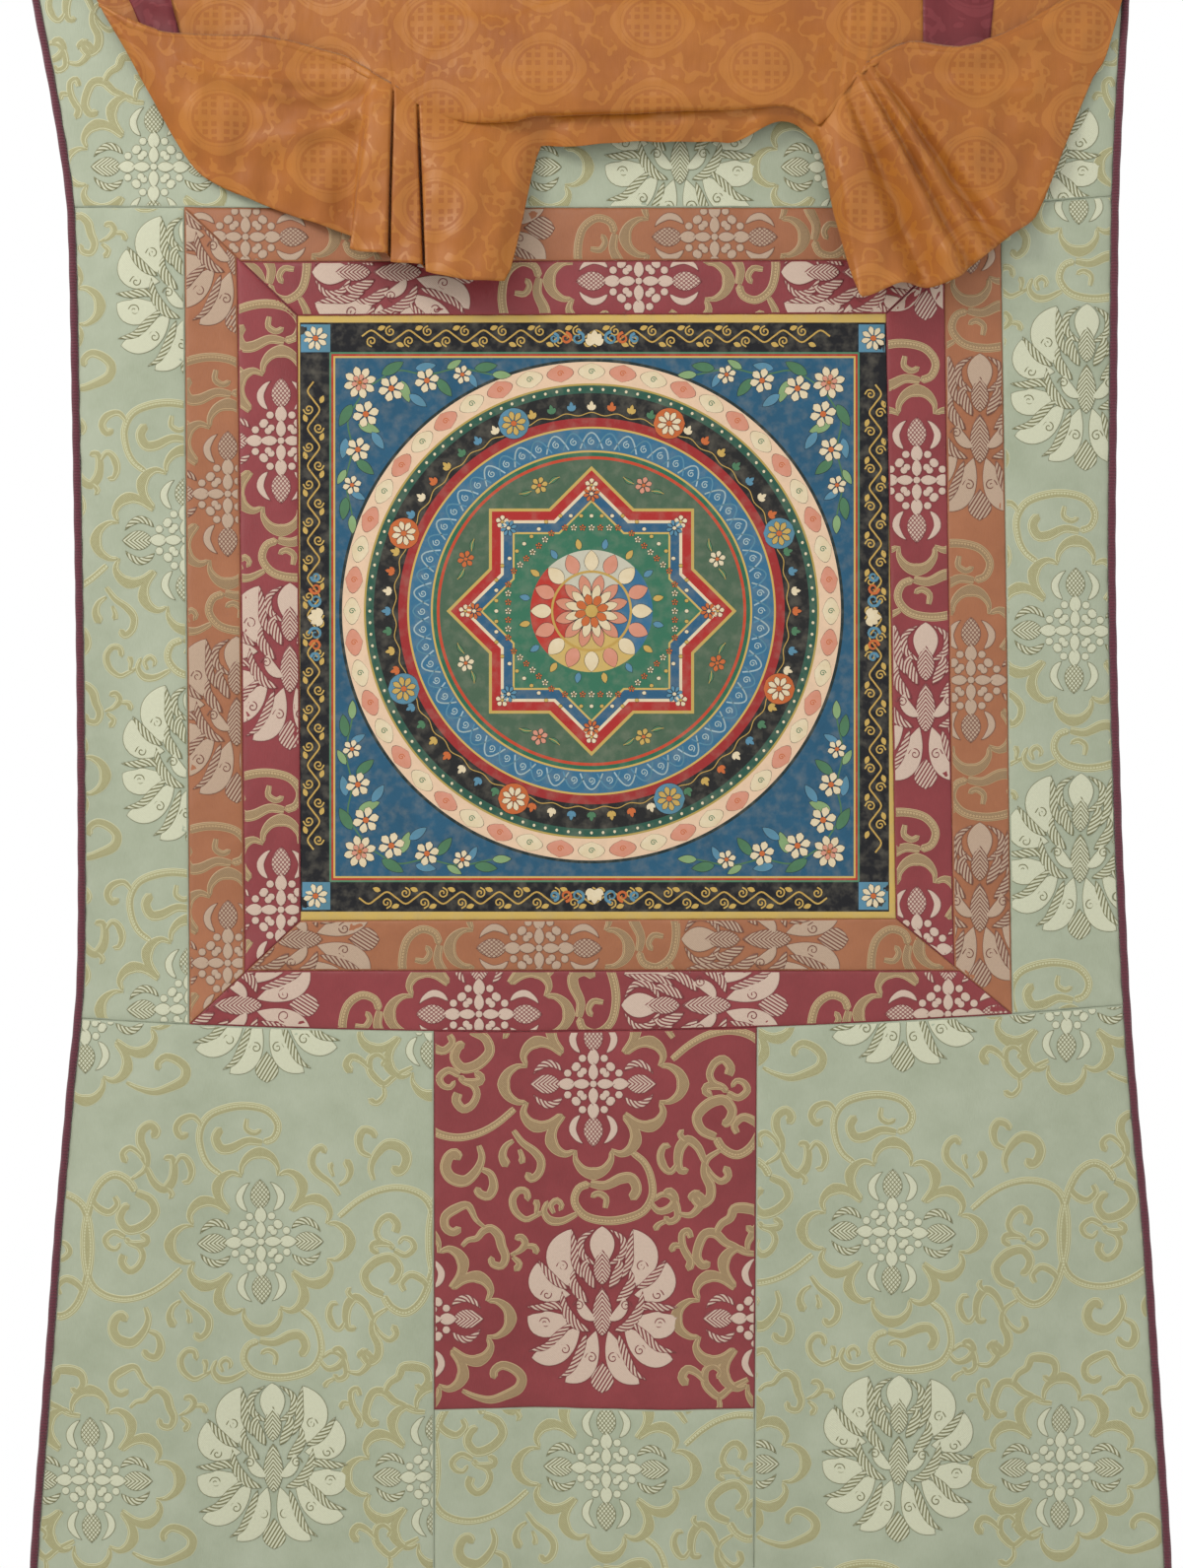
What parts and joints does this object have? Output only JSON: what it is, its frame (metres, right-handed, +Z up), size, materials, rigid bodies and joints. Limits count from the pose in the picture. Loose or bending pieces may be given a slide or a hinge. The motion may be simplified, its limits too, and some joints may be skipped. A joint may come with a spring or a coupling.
{
  "type": "thangka scroll painting",
  "caption": "Square mandala painting on canvas in a brocade mount of sewn strips and panels, with a gathered orange silk veil and red ribbons over its top band.",
  "frame": {"origin": "on the top edge of the cloth, on the upright middle line of the painting, at the cloth's front", "axes": "+Z up the hanging, +X to the viewer's right, -Y out of the painted face"},
  "size_m": [0.6296, 0.0334, 0.9543],
  "materials": {
    "green_brocade": "pale sage satin brocade with olive scrolls and ivory flowers",
    "red_brocade": "crimson satin brocade with bronze scrolls and pinkish white flowers",
    "orange_brocade": "rust orange satin brocade with bronze scrolls",
    "painted_canvas": "matt mineral paint with gold lines on sized cotton canvas",
    "wine_binding": "fuzzy dark wine cord",
    "orange_silk": "glossy orange damask silk with a tone on tone pattern",
    "crimson_silk": "glossy crimson damask silk"
  },
  "bodies": {
    "root": {"top_band": "green_brocade", "side_left": "green_brocade", "side_right": "green_brocade", "bottom_left": "green_brocade", "bottom_centre": "green_brocade", "bottom_right": "green_brocade", "door": "red_brocade", "red_left": "red_brocade", "red_right": "red_brocade", "red_top": "red_brocade", "red_bottom": "red_brocade", "orange_left": "orange_brocade", "orange_right": "orange_brocade", "orange_top": "orange_brocade", "orange_bottom": "orange_brocade", "painting": "painted_canvas", "binding_left": "wine_binding", "binding_right": "wine_binding", "veil": "orange_silk", "ribbon_left": "crimson_silk", "ribbon_right": "crimson_silk"}
  },
  "joints": []
}
